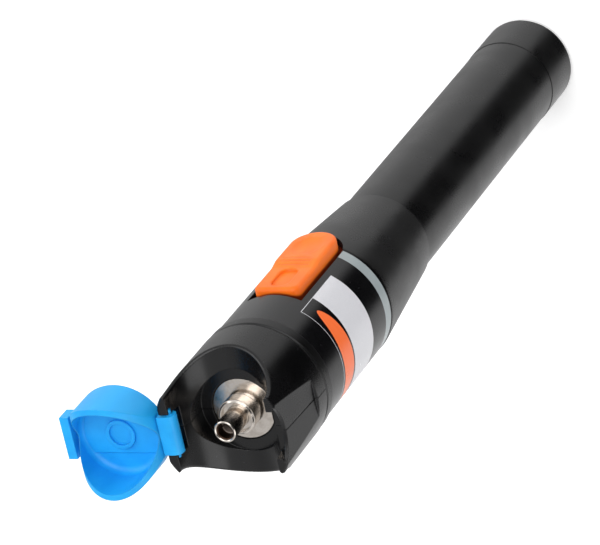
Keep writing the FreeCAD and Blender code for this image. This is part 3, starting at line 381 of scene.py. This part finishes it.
@dataclass(frozen=True)
class ConnectorMetal:
    """Nickel of the connector: fine thread on the nose, painted shade in the thread roots and the bore.
    """

    name: str
    colour: Colour = (0.66, 0.61, 0.56)
    dark: Colour = (0.55, 0.50, 0.45)
    painted_shade: Colour = (0.055, 0.032, 0.022)
    thread: Span = (2.7, 0.3)  # behind the nose's front end
    thread_radius: float = 3.15  # the thread shows outside this radius
    thread_depth: float = 0.16
    pitch: float = 0.62
    bore: float = 1.75  # radius inside which painted shade darkens the metal

    def material(self) -> bpy.types.Material:
        """Turned metal whose crests shine and whose thread roots and bore are darkened with painted
        shade.
        """
        graph = Graph.finish(self.name)
        nose_end = corners("connector_body")[1].z
        start, end = (nose_end - back for back in self.thread)
        x, y, z = graph.axes(graph.place())
        radius = (x * x + y * y).power(0.5)
        turn = y.math("ARCTAN2", y, x) / math.tau
        wave = ((z / self.pitch + turn) * math.tau).math("COSINE") * 0.5 + 0.5
        on_nose = z.inside(start, end, 0.08)
        on_nose = on_nose.both(radius.ramp(self.thread_radius - 0.1, self.thread_radius))
        root = (1.0 - wave) * on_nose
        inside = radius.ramp(self.bore - 0.12, self.bore, 1.0, 0.0)
        haze = graph.noise(0.8, 4.0)
        rings = graph.noise((0.05, 0.05, 12.0), 3.0, 0.7)
        tone = graph.mix(haze.ramp(0.3, 0.65), self.dark, self.colour)
        # Painted shade: the thread roots and the bore are darkened towards the shade colour.
        tone = graph.mix(root * 0.75, tone, self.painted_shade)
        tone = graph.mix(inside, tone, self.painted_shade)
        gloss = haze.ramp(0.3, 0.8, 0.17, 0.24) + root * 0.2 + inside * 0.25
        normal = graph.bump(rings, 0.004, graph.soft_edges(0.06))
        normal = graph.bump(wave * on_nose, self.thread_depth, normal)
        return graph.surface(Base_Color=tone, Roughness=gloss, Metallic=1.0, Normal=normal)


@dataclass(frozen=True)
class LabelFilm:
    """Printed film round the barrel, with plain fields of colour.

    Heights are counted from the film's lower edge.
    """

    name: str = "label_film"
    centre: float = 180.0
    half_angle: float = 58.5
    band: Span = (0.2, 2.8)
    panel: Span = (9.3, 18.5)
    box_end: float = 24.1
    lens_centre: float = 21.2
    lens_height: float = 2.3
    lens_angle: float = 48.5
    line: float = 0.12
    line_angle: float = 0.55
    soft: float = 0.03
    film: tuple[Colour, Colour] = ((0.0025, 0.0025, 0.003), (0.004, 0.004, 0.005))
    ink: tuple[Colour, Colour] = ((0.58, 0.58, 0.61), (0.66, 0.66, 0.69))
    grey: Colour = (0.30, 0.34, 0.35)
    orange: Colour = (0.90, 0.16, 0.035)

    def material(self) -> bpy.types.Material:
        """Gloss film: grey band, white field, orange lens on black, thin white frame."""
        graph = Graph.finish(self.name)
        x, y, z = graph.axes(graph.place())
        up = z - corners("label_wrap")[0].z
        turn = math.radians(self.centre)
        along = x * math.cos(turn) + y * math.sin(turn)
        across = y * math.cos(turn) - x * math.sin(turn)
        side = abs(across.math("ARCTAN2", across, along) * math.degrees(1.0))
        within = side.ramp(self.half_angle - 0.3, self.half_angle + 0.1, 1.0, 0.0)
        panel = up.inside(*self.panel, self.soft).both(within)
        front_line = up.inside(self.box_end - self.line, self.box_end, self.soft).both(within)
        side_line = side.inside(self.half_angle - self.line_angle, self.half_angle, 0.12)
        side_line = side_line.both(up.inside(self.panel[0], self.box_end, self.soft))
        share = side / self.lens_angle
        height = (1.0 - share * share).either(0.0).power(0.5) * self.lens_height
        lens = (height - abs(up - self.lens_centre)).ramp(0.04, 0.12)
        band = up.inside(*self.band, self.soft)
        dust = graph.noise(0.9, 3.0).ramp(0.70, 0.74)
        film = graph.mix(graph.noise(0.2, 3.0), *self.film)
        ink = graph.mix(graph.noise(4.0, 2.0), *self.ink)
        tone = graph.mix(band, film, self.grey)
        tone = graph.mix(panel.either(front_line).either(side_line), tone, ink)
        tone = graph.mix(lens, tone, self.orange)
        gloss = 0.16 + graph.noise(0.4, 4.0) * 0.10 + dust * 0.1
        return graph.surface(Base_Color=tone, Roughness=gloss,
                             Normal=graph.bump(graph.noise(3.0, 2.0), 0.002))


@dataclass(frozen=True)
class Clear:
    """Clear lens glass."""

    name: str = "lens_glass"

    def material(self) -> bpy.types.Material:
        """Glass with a faint coating."""
        graph = Graph.finish(self.name)
        gloss = graph.noise(1.0, 3.0) * 0.04 + 0.02
        return graph.surface(Base_Color=(0.85, 0.92, 0.97), Roughness=gloss,
                             Transmission_Weight=1.0, IOR=1.5)


class Finish(Enum):
    """Every finish on the object."""

    TUBE = BlackCoat("black_tube")
    HEAD = BlackCoat("black_head", roughness=0.24, edge=0.25)
    LABEL = LabelFilm()
    ORANGE = KnobPlastic("orange_plastic", (1.0, 0.20, 0.012), (0.92, 0.155, 0.008),
                         scatter=0.1, edge=0.45)
    BLUE = Moulded("blue_plastic", (0.016, 0.40, 0.86), (0.010, 0.34, 0.78), scatter=0.15)
    BLACK_PLASTIC = Moulded("black_plastic", (0.02, 0.02, 0.02), (0.014, 0.014, 0.014))
    BOARD = Moulded("green_board", (0.02, 0.16, 0.06), (0.015, 0.12, 0.045), roughness=0.3)
    RUBBER = Moulded("seal_rubber", (0.016, 0.016, 0.016), (0.010, 0.010, 0.010), roughness=0.6)
    SLEEVE_SKIN = Moulded("cell_skin", (0.20, 0.21, 0.23), (0.15, 0.16, 0.18), roughness=0.25)
    # The ceramic's dark brownish grey is partly its own colour and partly painted shade of the bore.
    CERAMIC = Moulded("bore_ceramic", (0.30, 0.25, 0.22), (0.20, 0.16, 0.14), roughness=0.2)
    NICKEL = ConnectorMetal("nickel")
    STEEL = TurnedMetal("spring_steel", (0.60, 0.60, 0.61), (0.45, 0.45, 0.46), roughness=0.3)
    PLATED = TurnedMetal("bright_plate", (0.78, 0.77, 0.74), (0.66, 0.65, 0.62))
    BRASS = TurnedMetal("brass", (0.80, 0.60, 0.28), (0.62, 0.44, 0.18), roughness=0.28)
    GLASS = Clear()

    def material(self) -> bpy.types.Material:
        """The finish's material, made once."""
        return bpy.data.materials.get(self.value.name + "_finish") or self.value.material()


# ---------------------------------------------------------------- pieces

def dress(node: str, finish: Finish) -> None:
    """Give a CAD node its finish."""
    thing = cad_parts[node]
    thing.data.materials.clear()
    thing.data.materials.append(finish.material())
    LOG.info("dressed %s in %s", node, finish.name)


def refined(node: str, body: str, finish: Finish, sharp: float = 24.0) -> bpy.types.Object:
    """A smooth-shaded piece that stands for a CAD node.

    Args:
        node: The CAD node whose surface is taken.
        body: The body that it rides on.
        finish: Its finish.
        sharp: Edges that turn by more degrees stay sharp.

    Returns:
        The new piece.
    """
    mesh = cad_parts[node].data.copy()
    mesh.materials.clear()
    work = bmesh.new()
    work.from_mesh(mesh)
    bmesh.ops.remove_doubles(work, verts=work.verts, dist=WELD)
    for face in work.faces:
        face.smooth = True
    for edge in work.edges:
        edge.smooth = len(edge.link_faces) == 2 and edge.calc_face_angle(0.0) < math.radians(sharp)
    work.to_mesh(mesh)
    work.free()
    piece = bpy.data.objects.new(node + "_dressed", mesh)
    bpy.context.scene.collection.objects.link(piece)
    mesh.materials.append(finish.material())
    weigh = piece.modifiers.new("even_shading", "WEIGHTED_NORMAL")
    weigh.keep_sharp = True
    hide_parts(node)
    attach(piece, body)
    LOG.info("refined %s in %s on %s", node, finish.name, body)
    return piece


@dataclass
class Tail:
    """Tail cap with its seal, washer and spring."""

    def build(self) -> None:
        """Dress the tail's pieces."""
        refined("tail_cap", "tail", Finish.TUBE)
        dress("tail_seal", Finish.RUBBER)
        dress("tail_contact", Finish.PLATED)
        dress("tail_spring", Finish.STEEL)


@dataclass
class Barrel:
    """Battery tube, front barrel, label and cells."""

    def build(self) -> None:
        """Dress the barrel's pieces."""
        refined("battery_tube", "pen", Finish.TUBE)
        refined("front_barrel", "pen", Finish.TUBE)
        refined("label_wrap", "pen", Finish.LABEL)
        dress("rear_cell", Finish.SLEEVE_SKIN)
        dress("front_cell", Finish.SLEEVE_SKIN)


@dataclass
class Switch:
    """Slide knob, switch and electronics."""

    def build(self) -> None:
        """Dress the switch's pieces."""
        refined("switch_knob", "knob", Finish.ORANGE)
        dress("switch_lever", Finish.BLACK_PLASTIC)
        dress("slide_switch", Finish.PLATED)
        dress("contact_holder", Finish.BLACK_PLASTIC)
        dress("positive_contact", Finish.PLATED)
        dress("driver_board", Finish.BOARD)
        dress("board_parts", Finish.BLACK_PLASTIC)


@dataclass
class Head:
    """Two head shells round the connector and the laser."""

    crease: float = 14.0

    def build(self) -> None:
        """Dress the head's pieces."""
        refined("head_shell_upper", "pen", Finish.HEAD, self.crease)
        refined("head_shell_lower", "pen", Finish.HEAD, self.crease)
        refined("connector_body", "pen", Finish.NICKEL)
        refined("connector_tube", "pen", Finish.NICKEL)
        dress("shell_screws", Finish.STEEL)
        dress("ceramic_sleeve", Finish.CERAMIC)
        dress("laser_housing", Finish.BRASS)
        dress("laser_diode", Finish.PLATED)
        dress("focus_lens", Finish.GLASS)


@dataclass
class DustCap:
    """Hinged cap, open on its stop."""

    def build(self) -> None:
        """Dress the cap."""
        refined("dust_cap", "cap", Finish.BLUE)


# ---------------------------------------------------------------- studio

@dataclass(frozen=True)
class Softbox:
    """A square soft light."""

    name: str
    azimuth: float
    elevation: float
    distance: float
    size: float
    power: float
    tint: Colour = (1.0, 1.0, 1.0)

    def build(self, target: Vector) -> None:
        """Place the light on a sphere round the target and aim it."""
        lamp = bpy.data.lights.new(self.name, "AREA")
        lamp.shape = "SQUARE"
        lamp.size = self.size
        lamp.energy = self.power
        lamp.color = self.tint
        turn, rise = math.radians(self.azimuth), math.radians(self.elevation)
        away = Vector((math.cos(turn) * math.cos(rise), math.sin(turn) * math.cos(rise), math.sin(rise)))
        thing = bpy.data.objects.new(self.name, lamp)
        thing.location = target + away * self.distance
        thing.rotation_euler = (-away).to_track_quat("-Z", "Y").to_euler()
        bpy.context.scene.collection.objects.link(thing)


@dataclass
class Studio:
    """Pale floor, soft lights and the camera."""

    eye: tuple[float, float, float] = (-0.2964, -0.2862, 0.6886)
    aim: tuple[float, float, float] = (0.0055, -0.0059, 0.1127)
    roll: float = -139.78
    lens: float = 225.5
    floor_size: float = 12.0
    floor_glow: float = 0.3
    gap_centre: float = 197.0
    gap_edge: Span = (29.0, 52.0)
    gap_light: float = 0.0
    wall_light: float = 0.9
    back_edge: Span = (120.0, 180.0)
    back_share: float = 0.55
    pole_light: float = 0.5
    pole_edge: Span = (0.15, 0.5)
    light_target: tuple[float, float, float] = (0.0, 0.0, 0.10)
    lights: tuple[Softbox, ...] = (
        Softbox("key_light", 250.0, 60.0, 1.2, 0.9, 8.0),
        Softbox("left_light", 330.0, 30.0, 1.0, 0.7, 2.5),
        Softbox("right_light", 150.0, 35.0, 1.1, 0.7, 2.5),
    )

    def build(self) -> None:
        """Build the studio."""
        self.add_floor()
        self.add_sky()
        for light in self.lights:
            light.build(Vector(self.light_target))
        self.add_camera()
        bpy.context.scene.view_settings.view_transform = "Standard"

    def add_floor(self) -> None:
        """A plain pale floor under the tail."""
        mesh = bpy.data.meshes.new("floor")
        half = self.floor_size / 2
        corners = [(-half, -half, 0), (half, -half, 0), (half, half, 0), (-half, half, 0)]
        mesh.from_pydata(corners, [], [(0, 1, 2, 3)])
        floor = bpy.data.objects.new("floor", mesh)
        bpy.context.scene.collection.objects.link(floor)
        graph = Graph.finish("pale_floor")
        tone = graph.mix(graph.noise(0.01, 2.0), (0.88, 0.88, 0.88), (0.92, 0.92, 0.92))
        mesh.materials.append(graph.surface(Base_Color=tone, Roughness=0.9,
                                            Emission_Color=(1.0, 1.0, 1.0),
                                            Emission_Strength=self.floor_glow))
        floor.visible_glossy = False

    def add_sky(self) -> None:
        """Soft white light all round, with a dark gap between two walls of light."""
        graph = Graph(bpy.data.worlds.new("studio_sky"))
        point = graph.add("ShaderNodeTexCoord", output="Generated")
        x, y, _ = graph.axes(point)
        turn = math.radians(self.gap_centre)
        along = x * math.cos(turn) + y * math.sin(turn)
        across = y * math.cos(turn) - x * math.sin(turn)
        away = abs(across.math("ARCTAN2", across, along)) * math.degrees(1.0)
        wall = away.ramp(*self.gap_edge, self.gap_light, self.wall_light)
        wall = wall * away.ramp(*self.back_edge, 1.0, self.back_share)
        flat = (along * along + across * across).power(0.5)
        light = self.pole_light + (wall - self.pole_light) * flat.ramp(*self.pole_edge)
        sky = graph.add("ShaderNodeBackground", None, {"Color": (1.0, 1.0, 1.0), "Strength": light})
        graph.add("ShaderNodeOutputWorld", None, {"Surface": sky}, None)
        bpy.context.scene.world = graph.owner

    def add_camera(self) -> None:
        """The camera, far away with a long lens, turned about its own line of sight."""
        lens = bpy.data.cameras.new("camera")
        lens.lens = self.lens
        lens.clip_start = 0.01
        lens.clip_end = 50.0
        camera = bpy.data.objects.new("camera", lens)
        ahead = (Vector(self.aim) - Vector(self.eye)).normalized()
        roll = Matrix.Rotation(math.radians(self.roll), 3, "Z")
        turned = ahead.to_track_quat("-Z", "Y").to_matrix() @ roll
        camera.matrix_world = Matrix.Translation(self.eye) @ turned.to_4x4()
        bpy.context.scene.collection.objects.link(camera)
        bpy.context.scene.camera = camera


def main() -> None:
    """Build every sub-assembly and the studio."""
    logging.basicConfig(level=logging.INFO, format="%(name)s: %(message)s")
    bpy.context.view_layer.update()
    for part in (Tail(), Barrel(), Switch(), Head(), DustCap(), Studio()):
        part.build()
        LOG.info("built %s", type(part).__name__)


if __name__ == "__main__":
    main()
